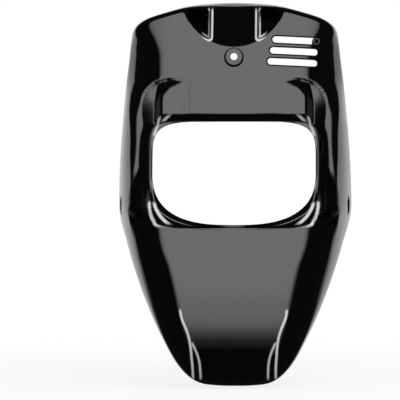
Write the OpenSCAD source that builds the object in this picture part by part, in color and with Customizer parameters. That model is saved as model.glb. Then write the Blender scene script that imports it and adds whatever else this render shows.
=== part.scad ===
// Front fairing of a small motorcycle: one moulded panel that carries the headlight.
// The cover stands as it is mounted: up is +Z, its front looks to -Y, and the seat of
// the top centre screw is the origin. Lengths are in millimetres.

/* [Cover] */
// Width over the rear edge of the side walls
cover_width = 300; // [290:1:310]
// Height from the top edge to the lower tip
cover_height = 491.5; // [477:0.5:505]
// Height of the top edge over the top screw
top_over_screw = 72; // [69:0.5:74]
// Thickness of the moulded wall
wall = 2.8; // [2.2:0.1:3.2]

/* [Side walls] */
// How far the side wall reaches back for each millimetre that it flares out
wall_rake = 3.5; // [3:0.1:4]
// Radius of the shoulder between the upper face and the side wall
shoulder = 38; // [34:0.5:42]
// Radius of the ridge beside the headlight
ridge = 12.5; // [11.5:0.5:14]

/* [Headlight] */
// Width of the headlight opening
lamp_width = 206; // [198:1:209]
// Height of the headlight opening
lamp_height = 130.4; // [124:0.1:133]
// Height of the opening's widest line under the top screw
lamp_drop = 142; // [139:1:145]
// Width of the ledge that the lamp's rim sits on
lamp_ledge = 2.5; // [1.5:0.1:3.5]
// How far the ledge lies behind the face at the lower lip
lamp_step = 15; // [12:0.5:18]
// Rise of the brow over the shoulders of the panel, per millimetre below the crease
brow_rise = 0.6; // [0.5:0.01:0.7]
// Height of the crease over the headlight, under the top screw
crease_drop = 27; // [25:0.5:29]
// How far the ridges beside the headlight lie behind the middle line of the face
ridge_drop = 13.8; // [12:0.1:15]
// Half the distance between the two ridges
ridge_side = 117; // [115:0.5:119]
// Radius of the corner where a ridge turns into the crease
ridge_round = 34; // [30:1:38]
// Depth of the trough between a ridge and the brow
trough_depth = 6; // [4:0.5:7]
// How steeply the ledge's wide corners rise away from the opening
corner_slant = 0.75; // [0.6:0.05:0.9]

/* [Scoop] */
// Radius of the arc that bounds the scoop at the top
scoop_radius = 68; // [64:0.5:72]
// How far the scoop's lowest point lies over the top screw
scoop_over_screw = 12.7; // [12.5:0.1:16]
// How steeply the scoop leans back
scoop_lean = 0.5; // [0.45:0.01:0.6]
// Half width of the tongue between the two pockets of the scoop
tongue = 28; // [24:0.5:32]
// How far the pockets' floor lies behind the arc's lowest point
pocket_depth = 18; // [12:0.5:19]
// How far each pocket reaches to the side
pocket_side = 59; // [56:0.5:60]
// How high each pocket reaches over the top screw
pocket_up = 63; // [60:0.5:64]
// Radius of the corners of each pocket
pocket_round = 5.5; // [4:0.5:7]

/* [Top screw] */
// Bore of the top screw
screw_bore = 8.8; // [6:0.1:10]
// Width of the round flat seat under the screw's head
seat_width = 20.8; // [18:0.2:22]
// How far the wall around the seat flares out for each millimetre forward
seat_flare = 0.5; // [0.3:0.05:0.6]
// Thickness of the floor under the screw's head
seat_floor = 3.5; // [2.5:0.1:5]
// Wall around the seat
seat_wall = 2.8; // [2:0.1:3.5]

/* [Side screws] */
// Bore of each side screw
side_bore = 6.6; // [5:0.1:8]
// Width of the well around each side screw
side_well = 19; // [16:0.5:21]
// How far the side screws lie under the top screw
side_drop = 188; // [184:0.5:190]
// How far the side screws lie behind the top screw
side_back = 38; // [34:0.5:42]
// Half the distance between the floors of the side wells
side_seat = 130; // [128:0.5:131]
// Thickness of the floor of each side well
side_floor = 3; // [2.4:0.1:4]
// Wall around each side well
side_wall = 2.6; // [2:0.1:3]

/* [Rear posts] */
// Width of each rear post
post_width = 11; // [9:0.5:13]
// Pilot bore in each rear post
post_bore = 4.2; // [3:0.1:5]
// Depth of the pilot bore
post_depth = 18; // [12:0.5:22]
// How far the rear end of each post lies behind the top screw
post_back = 42; // [38:0.5:48]
// Half the distance between the posts
post_side = 104; // [101:0.5:106]
// Height of the posts over the top screw
post_up = 19; // [16:0.5:22]

/* [Vent slots] */
// Height of each vent slot
slot_height = 8.3; // [6:0.1:9]
// Length of the middle slot, over its round ends
slot_length = 60; // [50:0.5:62]
// Length that each lower slot has more than the one above it
slot_growth = 2.5; // [0:0.1:3]
// Distance from one slot to the next
slot_pitch = 14; // [12.5:0.1:15]
// Distance of the middle slot from the middle of the cover
slot_side = 75.5; // [72:0.5:78]
// Height of the middle slot over the top screw
slot_up = 6.5; // [4:0.1:9]
// Angle at which the slots fall away to the side
slot_fall = 2.5; // [0:0.1:5]

/* [Hidden] */

side_scale = cover_width/300;
high_scale = cover_height/491.5;

// Half of the rear edge seen from the front, from the top centre round to the tip.
edge = [[0,0],[30,-0.8],[56,-3.7],[86,-12],[110,-19.8],[124,-28],[130.5,-37],[133.3,-52],
        [135.8,-74],[139.8,-106],[143,-137],[145.8,-168],[148,-198],[149.4,-228],[150,-258],
        [147.7,-277],[139.5,-304],[130.1,-335],[119.3,-366],[107.1,-397],[93.5,-427],
        [77.1,-458],[60.8,-478],[44,-488],[22,-491],[0,-491.5]];
last = len(edge)-1;
function edge_point(i) = let (m = i < 0 ? -i : i > last ? 2*last-i : i, s = (i < 0 || i > last) ? -1 : 1)
    [s*edge[m][0]*side_scale, top_over_screw+edge[m][1]*high_scale];
function edge_at(u) = let (i = min(floor(u), last-1), f = u-i, a = edge_point(i-1),
    b = edge_point(i), c = edge_point(i+1), d = edge_point(i+2))
    0.5*(2*b+(c-a)*f+(2*a-5*b+4*c-d)*f*f+(3*b-a-3*c+d)*f*f*f);

// Height of the middle line of the face, by place below the top screw.
middle = [[-422,-40],[-400,-18],[-370,5],[-345,18.5],[-320,27.5],[-290,36],[-255,42],
          [-225,44.5],[-210,43.5],[-142,32],[-72,18],[-27,9],[0,4],[45,-4.5],[72,-10]];
// How far forward the rear edge lies, by height.
back = [[-422,-52],[-408,-47],[-390,-41],[-360,-36],[-330,-34],[-290,-37],[-250,-46],[-222,-58],
        [-204,-67],[-186,-71],[-157,-70],[-119,-65],[-80,-61],[-30,-57],[20,-53],[45,-47],
        [60,-48],[70,-55]];
// Width of the flared strip of the side wall, by height.
strip = [[-422,2],[-390,2.2],[-357,2.8],[-324,5.1],[-285,8.3],[-247,10.9],[-222,13.5],
         [-204,17],[-186,20],[-157,19.8],[-119,16.6],[-93,15.4],[-60,11.3],[-23,9.2],
         [22,6.5],[42,3.4],[60,3.2],[72,4.5]];
// Where the flat middle of the face folds down to the sides, by height.
fold = [[-422,52],[-360,60],[-324,69],[-285,79.5],[-247,91],[-200,94],[-100,93],[0,93.5],
        [12,96],[24,101],[36,108],[60,116]];
// Radius of the shoulder, as a share from the ridge's radius (0) to the shoulder's (1).
turn = [[-422,0],[-405,0.1],[-380,0.5],[-350,0.85],[-324,1],[-247,0.95],[-226,0.85],[-212,0.5],[-196,0.06],
        [-157,0],[-119,0],[-93,0.06],[-70,0.2],[-45,0.4],[-34,0.7],[-26,0.95],[0,1],
        [22,0.7],[36,0.1],[46,-0.2],[72,-0.15]];

function clip(v, a, b) = min(max(v, a), b);
function ease(a, b, v) = let (s = clip((v-a)/(b-a), 0, 1)) s*s*(3-2*s);
function soft_max(a, b, r) = let (m = max(r-abs(a-b), 0)) max(a, b)+m*m/(4*r);
function soft_min(a, b, r) = let (m = max(r-abs(a-b), 0)) min(a, b)-m*m/(4*r);
function gap(p, i) = i < 0 ? gap(p, 0) : i > len(p)-2 ? gap(p, len(p)-2)
    : (p[i+1][1]-p[i][1])/(p[i+1][0]-p[i][0]);
function tilt(p, i) = i == 0 || i == len(p)-1 ? gap(p, i == 0 ? 0 : i-1)
    : (p[i+1][1]-p[i-1][1])/(p[i+1][0]-p[i-1][0]);
function through(p, w) = let (v = clip(w, p[0][0], p[len(p)-1][0]),
    i = clip(len([for (q = p) if (q[0] <= v) 1])-1, 0, len(p)-2),
    l = p[i+1][0]-p[i][0], s = (v-p[i][0])/l)
    (2*s*s*s-3*s*s+1)*p[i][1]+(s*s*s-2*s*s+s)*l*tilt(p, i)
    +(3*s*s-2*s*s*s)*p[i+1][1]+(s*s*s-s*s)*l*tilt(p, i+1);

// Reach of a rounded box from its centre along a direction.
function reach(x, z, a, up, down, n_up, n_down) = let (b = z > 0 ? up : down, n = z > 0 ? n_up : n_down)
    pow(pow(abs(x)/a, n)+pow(abs(z)/b, n), -1/n);
lamp_up = lamp_height*0.446;
lamp_down = lamp_height-lamp_up;

// Face before the wall turns back: fold, brow, trough, crease and scoop.
function crown(x, z) = let (a = abs(x), s = a-through(fold, z), q = max(a-40, 0))
    0.0014*q*q+0.14*(s+sqrt(s*s+12));
function panel(x, z) = through(middle, z)-crown(x, z);
function ground(x, z) = let (k = ease(-22, -75, z)*ease(60, 105, abs(x)))
    through(middle, z)-(1-k)*crown(x, z)-k*ridge_drop;
function trough(x, z) = let (u = ridge_side-abs(x), v = -crease_drop-z, r = ridge_round,
    e = max(u < r && v < r ? r-norm([max(r-u, 0), max(r-v, 0)]) : min(u, v), 0),
    t = exp(-2*0.62*e/trough_depth))
    trough_depth*(1-t)/(1+t)*ease(50, 85, abs(x));
function brow(x, z) = let (a = abs(x), level = through(middle, z)-0.0003*x*x,
    side = level-1.7*(a-91.5),
    start = through(middle, -crease_drop)-crown(x, -crease_drop)-4*ease(50, 85, a),
    ramp = start+brow_rise*max(-crease_drop-z, 0))
    soft_min(soft_min(level, side, 3), ramp, 2.5);
function body(x, z) = let (k = ease(-190, -215, z), low = ground(x, z)-trough(x, z))
    z > -crease_drop ? ground(x, z)
    : (1-k)*max(low, soft_max(low, brow(x, z), 2)-0.5)+k*panel(x, z);
function scoop(x, z) = let (e = scoop_radius-norm([x, z-scoop_over_screw-scoop_radius]))
    e > 0 ? scoop_lean*e*ease(-1, 4, e) : 0;

// Recess of the headlight: ledge, step and flank, by distance out from the ledge.
function ledge(x, z) = through(middle, -210)-lamp_step-0.2*(z+210)-0.00136*x*x;
function flank(z) = 1.3+5*ease(-172, -192, z);
function step(z) = 6.3+1.7*ease(-85, -110, z)+4*ease(-190, -210, z);
function front(x, z, d, out, w, wide = 0) = let (
    r = ridge+(shoulder-ridge)*through(turn, z),
    k = 0.6*wall_rake, s = k/sqrt(1+k*k), c = sqrt(1-s*s),
    q = clip((w+r*s-d)/r, 0, s),
    v = clip((w-d)/w, 0, 1),
    turned = body(x, z)-scoop(x, z)-r*(1-sqrt(1-q*q)),
    g = 0.6*v+0.4*v*v*v,
    low = ledge(x, z)+corner_slant*max(wide-2.5, 0)*clip(1+out/max(wide, 0.1), 0, 1))
    out < 0 ? low
    : soft_min((1-g)*turned+g*through(back, z),
        low+step(z)*ease(0, 1.5, out)+flank(z)*max(out-1.5, 0), 4);

// One ray from the middle of the headlight to the rear edge, with its rings of points.
half = 74;
face_low = 6;
face_mid = 5;
face_high = 5;
function ray(u) = let (
    o = edge_at(u), t = edge_at(min(u+0.01, last))-edge_at(max(u-0.01, 0)),
    n = [-t[1], t[0]]/norm(t), g = o-[0, -lamp_drop], l = norm(g), e = g/l,
    square = abs(e[0]*n[0]+e[1]*n[1]),
    hole = reach(e[0], e[1], lamp_width/2, lamp_up, lamp_down, 3.9, 2.7),
    foot = reach(e[0], e[1], lamp_width/2+lamp_ledge, lamp_up+1.5, lamp_down+1, 9, 7),
    w = through(strip, o[1]), r = ridge+(shoulder-ridge)*through(turn, o[1]),
    k = 0.6*wall_rake, s = k/sqrt(1+k*k),
    bend = l-(w+r*s)/square, edge_in = l-w/square,
    start = foot+3,
    crease = e[1] > 0.05 ? (lamp_drop-crease_drop)/e[1] : 1000,
    mid = clip(crease, start+0.3*(bend-start), start+0.55*(bend-start)),
    far = scoop_over_screw+scoop_radius+lamp_drop,
    arc = clip(e[1] > 0 ? far*e[1]-sqrt(max(scoop_radius*scoop_radius-far*far*e[0]*e[0], 0)) : 1000,
        mid+0.3*(bend-mid), mid+0.8*(bend-mid)),
    rings = concat([hole, (hole+foot)/2, foot-0.2, foot+0.6, foot+1.5],
        [for (i = [0:face_low-1]) start+(mid-start)*i/face_low],
        [for (i = [0:face_mid-1]) mid+(arc-mid)*i/face_mid],
        [for (i = [0:face_high-1]) arc+(bend-arc)*i/face_high],
        [for (i = [0:4]) bend+(edge_in-bend)*i/5],
        [for (i = [0:4]) edge_in+(l-edge_in)*i/4]))
    [for (a = rings) let (p = [0, -lamp_drop]+a*e)
        [p[0], -front(p[0], p[1], (l-a)*square, a-foot, w, foot-hole), p[1]]];

right = [for (i = [0:half]) ray(last*i/half)];
rows = 2*half;
outer = [for (i = [0:rows-1]) i <= half ? right[i] : [for (p = right[rows-i]) [-p[0], p[1], p[2]]]];
rings = len(outer[0]);

// Inner skin: every second row, set in by the wall.
inner_rings = concat([0, 2, 4], [for (j = [7:2:rings-3]) j], [rings-1]);
function row(i) = outer[(i+rows)%rows];
function square_in(i, m) = let (j = inner_rings[m],
    a = inner_rings[max(m-1, 0)], b = inner_rings[min(m+1, len(inner_rings)-1)],
    n = cross(row(i)[b]-row(i)[a], row(i+2)[j]-row(i-2)[j]))
    n/norm(n);
inner = [for (i = [0:2:rows-2]) [for (m = [0:len(inner_rings)-1])
    let (p = row(i)[inner_rings[m]], n = square_in(i, m), q = p+wall*n)
    m == 0 ? p+[0, wall, 0]
    : m == len(inner_rings)-1 ? let (f = [n[0], 0, n[2]]) [p[0], p[1], p[2]]+wall*f/norm(f)
    : q]];
cols = len(inner_rings);
half_rows = rows/2;

function o(i, j) = ((i+rows)%rows)*rings+j;
function n(i, j) = rows*rings+((i+half_rows)%half_rows)*cols+j;
points = concat([for (r = outer) each r], [for (r = inner) each r]);
faces = concat(
    [for (i = [0:rows-1]) for (j = [0:rings-2]) each [[o(i, j), o(i+1, j), o(i, j+1)], [o(i+1, j), o(i+1, j+1), o(i, j+1)]]],
    [for (i = [0:half_rows-1]) for (j = [0:cols-2]) each [[n(i, j), n(i, j+1), n(i+1, j)], [n(i+1, j), n(i, j+1), n(i+1, j+1)]]],
    [for (i = [0:half_rows-1]) each [[o(2*i, 0), n(i, 0), o(2*i+1, 0)], [o(2*i+1, 0), n(i, 0), n(i+1, 0)], [o(2*i+1, 0), n(i+1, 0), o(2*i+2, 0)]]],
    [for (i = [0:half_rows-1]) each [[o(2*i, rings-1), o(2*i+1, rings-1), n(i, cols-1)], [o(2*i+1, rings-1), n(i+1, cols-1), n(i, cols-1)], [o(2*i+1, rings-1), o(2*i+2, rings-1), n(i+1, cols-1)]]]);

// Height of the outer face over a place of the front view, and its slopes there.
function ray_at(x, z, a = 0, b = last, i = 24) = let (m = (a+b)/2, g = edge_at(m)+[0, lamp_drop])
    i == 0 ? m : atan2(g[0], g[1]) < atan2(abs(x), z+lamp_drop) ? ray_at(x, z, m, b, i-1)
    : ray_at(x, z, a, m, i-1);
function height(x, z) = let (u = ray_at(x, z), o = edge_at(u),
    t = edge_at(min(u+0.01, last))-edge_at(max(u-0.01, 0)), g = o+[0, lamp_drop],
    square = abs(g[0]*t[1]-g[1]*t[0])/norm(t)/norm(g))
    front(abs(x), z, (norm(g)-norm([x, z+lamp_drop]))*square, 50, through(strip, o[1]));
function slope_x(x, z) = (height(x+3, z)-height(x-3, z))/6;
function slope_z(x, z) = (height(x, z+3)-height(x, z-3))/6;

// Block of half width r behind the face, its front set back by a cover depth.
module behind(x, z, r, cover, rear) {
    h = height(x, z); a = slope_x(x, z); b = slope_z(x, z);
    front_at = [for (q = [[-r, -r], [r, -r], [r, r], [-r, r]]) [x+q[0], cover-h-a*q[0]-b*q[1], z+q[1]]];
    polyhedron(concat(front_at, [for (p = front_at) [p[0], rear, p[2]]]),
        [[3, 2, 1, 0], [4, 5, 6, 7], [0, 1, 5, 4], [1, 2, 6, 5], [2, 3, 7, 6], [3, 0, 4, 7]]);
}
// Round bar along Y, from y = a to y = b.
module bar(x, z, width, a, b) translate([x, b, z]) rotate([90, 0, 0]) cylinder(d = width, h = b-a, $fn = 48);

module sheet() polyhedron(points, [for (f = faces) [f[2], f[1], f[0]]], convexity = 12);

// Round seat of the top screw, flush with the face in front.
seat_in = height(0, 0);
module seat_body() intersection() {
    bar(0, 0, seat_width+2*(seat_wall+seat_flare*seat_in), -20, seat_floor);
    behind(0, 0, seat_width, wall*0.4, seat_floor+10);
}
module seat_flare_cut() rotate([90, 0, 0])
    cylinder(h = 12, r1 = seat_width/2, r2 = seat_width/2+12*seat_flare, $fn = 48);

// Outline of a pocket, let out by grow: tongue wall, arc, outer end, with round corners.
pocket_mid = [(tongue+pocket_side)/2, scoop_over_screw+29];
function pocket_holds(x, z, grow) = let (r = pocket_round+grow,
    out = [tongue-grow-x, x-pocket_side-grow, z-pocket_up-grow,
        norm([x, z-scoop_over_screw-scoop_radius])-scoop_radius-grow],
    a = [for (q = out) max(q+r, 0)])
    norm(a) < r;
function pocket_reach(t, grow, a = 0, b = 80, i = 24) = let (m = (a+b)/2)
    i == 0 ? a : pocket_holds(pocket_mid[0]+m*cos(t), pocket_mid[1]+m*sin(t), grow)
        ? pocket_reach(t, grow, m, b, i-1) : pocket_reach(t, grow, a, m, i-1);
function pocket_points(count, grow) = [for (i = [0:count-1]) let (t = i*360/count, m = pocket_reach(t, grow))
    [pocket_mid[0]+m*cos(t), pocket_mid[1]+m*sin(t)]];
// Cut of a pocket: its floor is parallel to the scoop's lean.
module pocket() intersection() {
    rotate([90, 0, 0]) linear_extrude(height = 160, center = true) polygon(pocket_points(32, 0));
    translate([0, pocket_depth, scoop_over_screw]) rotate([-atan(scoop_lean), 0, 0])
        translate([0, -200, -100]) cube([120, 200, 200]);
}
// Wall around a pocket, from under the face to a wall behind the floor.
module pocket_body() {
    ring = pocket_points(24, wall);
    polyhedron(concat([for (p = ring) [p[0], wall*0.5-height(p[0], p[1]), p[1]]],
        [for (p = ring) [p[0], pocket_depth+wall+scoop_lean*(p[1]-scoop_over_screw), p[1]]]),
        concat([for (i = [1:22]) [0, i+1, i]], [for (i = [1:22]) [24, 24+i, 24+i+1]],
            [for (i = [0:23]) let (k = (i+1)%24) each [[i, k, 24+i], [k, 24+k, 24+i]]]));
}
// Post with a blind pilot bore for a screw from behind.
module post_body(side) intersection() {
    bar(side*post_side, post_up, post_width, -30, post_back);
    behind(side*post_side, post_up, post_width, wall*0.5, post_back+10);
}
module slot(i) translate([slot_side-i*1.9, 0, slot_up-i*slot_pitch]) rotate([90, slot_fall, 0])
    linear_extrude(height = 120, center = true) {
        long = slot_length+i*slot_growth-slot_height;
        square([long, slot_height], center = true);
        for (e = [-1, 1]) translate([e*long/2, 0]) circle(d = slot_height, $fn = 48);
    }

// Where the side wall lies at the height and depth of the side screws.
function wall_at(y, z, a = 0, b = 30, i = 24) = let (m = (a+b)/2, o = edge_at(ray_at(150*side_scale, z)))
    i == 0 ? o[0]-m : height(o[0]-m, z) > -y ? wall_at(y, z, a, m, i-1) : wall_at(y, z, m, b, i-1);
side_out = [for (y = [side_back-15, side_back, side_back+15]) wall_at(y, -side_drop)];
module side_bar(width, a, b) translate([a, side_back, -side_drop]) rotate([0, 90, 0])
    cylinder(d = width, h = b-a, $fn = 48);
// Well around a side screw: a cup whose rim lies in the side wall.
module well_body() intersection() {
    side_bar(side_well+2*side_wall, side_seat-side_floor, 160);
    translate([0, 0, -side_drop]) linear_extrude(height = 2*side_well, center = true)
        polygon([[100, side_back-20], [side_out[0]-wall*0.4, side_back-15], [side_out[1]-wall*0.4, side_back],
            [side_out[2]-wall*0.4, side_back+15], [100, side_back+20]]);
}

module fairing_panel() color("black") difference() {
    union() {
        difference() {
            sheet();
            for (i = [-1:1]) slot(i);
        }
        seat_body();
        for (side = [-1, 1]) post_body(side);
        for (side = [0, 1]) mirror([side, 0, 0]) {
            well_body();
            pocket_body();
        }
    }
    seat_flare_cut();
    bar(0, 0, screw_bore, -30, seat_floor+1);
    for (side = [-1, 1]) bar(side*post_side, post_up, post_bore, post_back-post_depth, post_back+1);
    for (side = [0, 1]) mirror([side, 0, 0]) {
        pocket();
        side_bar(side_well, side_seat, 170);
        side_bar(side_bore, side_seat-side_floor-1, 170);
    }
}

fairing_panel();
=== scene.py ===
import math
import bpy
import numpy as np
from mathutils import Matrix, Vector


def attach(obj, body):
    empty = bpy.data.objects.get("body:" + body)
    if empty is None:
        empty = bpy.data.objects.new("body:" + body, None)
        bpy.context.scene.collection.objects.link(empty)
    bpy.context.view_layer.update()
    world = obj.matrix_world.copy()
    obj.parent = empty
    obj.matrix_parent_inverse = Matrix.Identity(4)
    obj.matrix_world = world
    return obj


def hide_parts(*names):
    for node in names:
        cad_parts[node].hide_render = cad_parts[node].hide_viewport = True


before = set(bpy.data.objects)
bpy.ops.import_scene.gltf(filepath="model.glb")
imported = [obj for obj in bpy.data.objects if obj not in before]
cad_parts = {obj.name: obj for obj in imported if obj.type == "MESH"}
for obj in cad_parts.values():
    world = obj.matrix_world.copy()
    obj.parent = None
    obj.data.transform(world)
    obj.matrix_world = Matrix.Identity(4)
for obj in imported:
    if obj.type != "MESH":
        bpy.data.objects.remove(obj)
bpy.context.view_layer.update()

print("stage 1: frame loaded")

def clip(v, a, b):
    return np.minimum(np.maximum(v, a), b)

def ease(a, b, v):
    s = clip((v - a) / (b - a), 0.0, 1.0)
    return s * s * (3 - 2 * s)

def softMax(a, b, r):
    m = np.maximum(r - np.abs(a - b), 0)
    return np.maximum(a, b) + m * m / (4 * r)

def softMin(a, b, r):
    m = np.maximum(r - np.abs(a - b), 0)
    return np.minimum(a, b) - m * m / (4 * r)

def through(points, v):
    # smooth curve through given points (place, value)
    p = np.array(points, float)
    x, y = p[:, 0], p[:, 1]
    m = np.empty(len(x))
    m[1:-1] = (y[2:] - y[:-2]) / (x[2:] - x[:-2])
    m[0] = (y[1] - y[0]) / (x[1] - x[0])
    m[-1] = (y[-1] - y[-2]) / (x[-1] - x[-2])
    v = clip(v, x[0], x[-1])
    i = np.clip(np.searchsorted(x, v, side="right") - 1, 0, len(x) - 2)
    l = x[i + 1] - x[i]
    s = (v - x[i]) / l
    return ((2 * s**3 - 3 * s**2 + 1) * y[i] + (s**3 - 2 * s**2 + s) * l * m[i]
            + (3 * s**2 - 2 * s**3) * y[i + 1] + (s**3 - s**2) * l * m[i + 1])

def pickNone():
    bpy.ops.object.select_all(action="DESELECT")

def makeActive(obj):
    pickNone()
    obj.select_set(True)
    bpy.context.view_layer.objects.active = obj

def applyModifier(obj, name):
    makeActive(obj)
    bpy.ops.object.modifier_apply(modifier=name)

def applyPlace(obj):
    makeActive(obj)
    bpy.ops.object.transform_apply(location=True, rotation=True, scale=True)

# places and sizes are in mm: x from the middle outwards, z up from the top screw
cover = {
    # the outline, from the top middle round to the tip
    "edge": [(0, 72), (30, 71.2), (56, 68.3), (86, 60), (110, 52.2), (124, 44), (130.5, 35),
             (133.3, 20), (135.8, -2), (139.8, -34), (143, -65), (145.8, -96), (148, -126),
             (149.4, -156), (150, -186), (147.7, -205), (139.5, -232), (130.1, -263),
             (119.3, -294), (107.1, -325), (93.5, -355), (77.1, -386), (60.8, -406), (44, -416),
             (22, -419), (0, -419.5)],
    # the next five go by z: how far forward the middle is
    "middle": [(-422, -40), (-400, -18), (-370, 5), (-345, 18.5), (-320, 27.5), (-290, 36),
               (-255, 42), (-225, 44.5), (-210, 43.5), (-142, 32), (-72, 18), (-27, 9),
               (0, 4), (45, -4.5), (72, -10)],
    # how far forward the back edge is
    "back": [(-422, -52), (-408, -47), (-390, -41), (-360, -36), (-330, -34), (-290, -37),
             (-250, -46), (-222, -58), (-204, -67), (-186, -71), (-157, -70), (-119, -65),
             (-80, -61), (-30, -57), (20, -53), (45, -47), (60, -48), (70, -55)],
    # width of the side wall as the front view shows it
    "strip": [(-422, 2), (-390, 2.2), (-357, 2.8), (-324, 5.1), (-285, 8.3), (-247, 10.9),
              (-222, 13.5), (-204, 17), (-186, 20), (-157, 19.8), (-119, 16.6), (-93, 14.6),
              (-60, 9.8), (-23, 7.2), (22, 4.8), (42, 3), (60, 3), (72, 4.5)],
    # roundness of the corner into the wall: 0 is the ridge's, 1 the shoulder's
    "turn": [(-422, 0), (-405, 0.1), (-380, 0.5), (-350, 0.85), (-324, 1), (-247, 0.95),
             (-226, 0.85), (-214, 0.4), (-203, -0.3), (-180, -0.44), (-160, -0.4), (-135, -0.12),
             (-119, 0), (-93, 0.06), (-70, 0.2), (-45, 0.4), (-34, 0.7), (-26, 0.95), (0, 1),
             (22, 0.7), (36, 0.1), (46, -0.2), (72, -0.15)],
    # distance of the face's fold from the middle
    "fold": [(-422, 52), (-360, 60), (-324, 67), (-285, 74.5), (-262, 80.5), (-247, 86.5),
             (-230, 91), (-200, 94), (-100, 93), (0, 93.5), (12, 96), (24, 101), (36, 108), (60, 116)],
    "wallRake": 3.5, "wallEven": 0.6, "shoulder": 38, "ridge": 12.5,
    "crownFlat": 40, "crownBend": 0.0014, "foldFall": 0.14, "foldRound": 12,
    "shelfDown": (-22, -75), "shelfOut": (60, 105), "chinAt": (-192, -206),
    "lampWidth": 206, "lampHeight": 130.4, "lampDrop": 142, "lampLedge": 2.5, "lampStep": 15,
    "browRise": 0.48, "creaseDrop": 27, "crest": 13.8, "ridgeSide": 117, "ridgeRound": 34,
    "scoopRadius": 68, "scoopOver": 12.7, "scoopLean": 0.5, "scoopRim": (-1, 4),
    "wall": 2.8,
}

# the hollow beside and over the headlight
valley = {
    "inward": 2.5, "inwardAt": (-58, -95), "outward": 19.5, "outwardAt": (-120, -187),
    "creaseFall": 6, "creaseSlope": 1.4, "creaseRound": 0.8, "beginsOut": (50, 85),
    "sideFall": 20, "sideSlope": 0.4, "upperSlope": 0.3, "lowerSlope": 0.25, "lowerAt": (-95, -130),
}

# the raised part over the headlight
browForm = {
    "bend": 0.0003, "sideFrom": 91, "sideSlope": 1.7, "sideRound": 4, "rampRound": 2,
    "creaseSink": 3, "creaseSinkAt": (50, 85), "endSink": 2.5, "endSinkAt": (79, 93),
    "wallRound": 1, "lowWallRound": 3, "lowWallAt": (-36, -62),
}

# the headlight's opening and the ledge round it
opening = {
    "upShare": 0.446, "holeUp": 2, "holeCorners": (5.2, 2.7),
    "ledgeUp": 1.5, "ledgeDown": 1, "ledgeCorners": (9, 7),
    "ledgeAt": -210, "ledgeSlope": 0.2, "ledgeBend": 0.00136, "slant": 0.75, "slantFrom": 2.5,
    "step": 6.3, "upperStep": 1.7, "upperStepAt": (-85, -110), "lowerStep": 4, "lowerStepAt": (-190, -210),
    "stepWidth": 1.5, "stepRound": 4, "flank": 1.3, "lowFlank": 5, "lowFlankAt": (-172, -192),
}

def edgePoints():
    p = np.array(cover["edge"], float)
    first = [-p[1, 0], p[1, 1]]
    final = [-p[-2, 0], p[-2, 1]]
    return np.vstack([first, p, final])

edgeRow = edgePoints()
lastEdge = len(cover["edge"]) - 1

def edgeAt(u):
    u = np.asarray(u, float)
    i = np.clip(np.floor(u).astype(int), 0, lastEdge - 1)
    f = (u - i)[..., None]
    a, b, c, d = edgeRow[i], edgeRow[i + 1], edgeRow[i + 2], edgeRow[i + 3]
    return 0.5 * (2 * b + (c - a) * f + (2 * a - 5 * b + 4 * c - d) * f * f
                  + (3 * b - a - 3 * c + d) * f * f * f)

def reach(x, z, a, up, down, corners):
    # how far a ray runs to a rounded shape, for points that lie on the ray
    b = np.where(z > 0, up, down)
    n = np.where(z > 0, *corners)
    return ((np.abs(x) / a) ** n + (np.abs(z) / b) ** n) ** (-1 / n)

def crown(x, z):
    a = np.abs(x)
    s = a - through(cover["fold"], z)
    return (cover["crownBend"] * np.maximum(a - cover["crownFlat"], 0) ** 2
            + cover["foldFall"] * (s + np.sqrt(s * s + cover["foldRound"])))

def panel(x, z):
    return through(cover["middle"], z) - crown(x, z)

def shelf(x, z):
    # 1 on the level part beside the headlight, 0 on the crowned face
    return ease(*cover["shelfDown"], z) * ease(*cover["shelfOut"], np.abs(x))

def outerLevel(x, z):
    k = shelf(x, z)
    return through(cover["middle"], z) - (1 - k) * crown(x, z) - k * cover["crest"]

def trough(x, z):
    # a valley inside the rounded corner of the ridge: it falls at once under the crease,
    # and with an even slope beside the ridge
    u = (cover["ridgeSide"] - valley["inward"] * ease(*valley["inwardAt"], z)
         + valley["outward"] * ease(*valley["outwardAt"], z) - np.abs(x))
    v = -cover["creaseDrop"] - z
    r = cover["ridgeRound"]
    du, dv = np.maximum(r - u, 0), np.maximum(r - v, 0)
    length = np.maximum(np.hypot(du, dv), 0.01)
    inCorner = (u < r) & (v < r)
    e = np.maximum(np.where(inCorner, r - length, np.minimum(u, v)), 0)
    upward = np.where(inCorner, (dv / length) ** 2, np.where(v < u, 1.0, 0.0))
    down = valley["creaseSlope"] * e * e / (e + valley["creaseRound"])
    fall = valley["creaseFall"] * np.tanh(down / valley["creaseFall"])
    slope = (valley["sideSlope"] + valley["upperSlope"] * (1 - shelf(x, z))
             + valley["lowerSlope"] * ease(*valley["lowerAt"], z))
    even = valley["sideFall"] * np.tanh(slope * e / valley["sideFall"])
    return (upward * fall + (1 - upward) * even) * ease(*valley["beginsOut"], np.abs(x))

def brow(x, z):
    a = np.abs(x)
    crease = -float(cover["creaseDrop"])
    level = through(cover["middle"], z) - browForm["bend"] * x * x
    side = level - browForm["sideSlope"] * (a - browForm["sideFrom"])
    low = float(through(cover["middle"], np.array(crease)))
    start = (low - crown(x, crease + 0 * x) - browForm["creaseSink"] * ease(*browForm["creaseSinkAt"], a)
             - browForm["endSink"] * ease(*browForm["endSinkAt"], a))
    ramp = start + cover["browRise"] * np.maximum(crease - z, 0)
    return softMin(softMin(level, side, browForm["sideRound"]), ramp, browForm["rampRound"])

def body(x, z):
    k = ease(*cover["chinAt"], z)
    ground = outerLevel(x, z) - trough(x, z)
    soft = browForm["wallRound"] + browForm["lowWallRound"] * ease(*browForm["lowWallAt"], z)
    raised = ground + np.maximum(softMax(ground, brow(x, z), soft) - soft / 4 - ground, 0)
    return np.where(z > -cover["creaseDrop"], outerLevel(x, z), (1 - k) * raised + k * panel(x, z))

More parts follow.
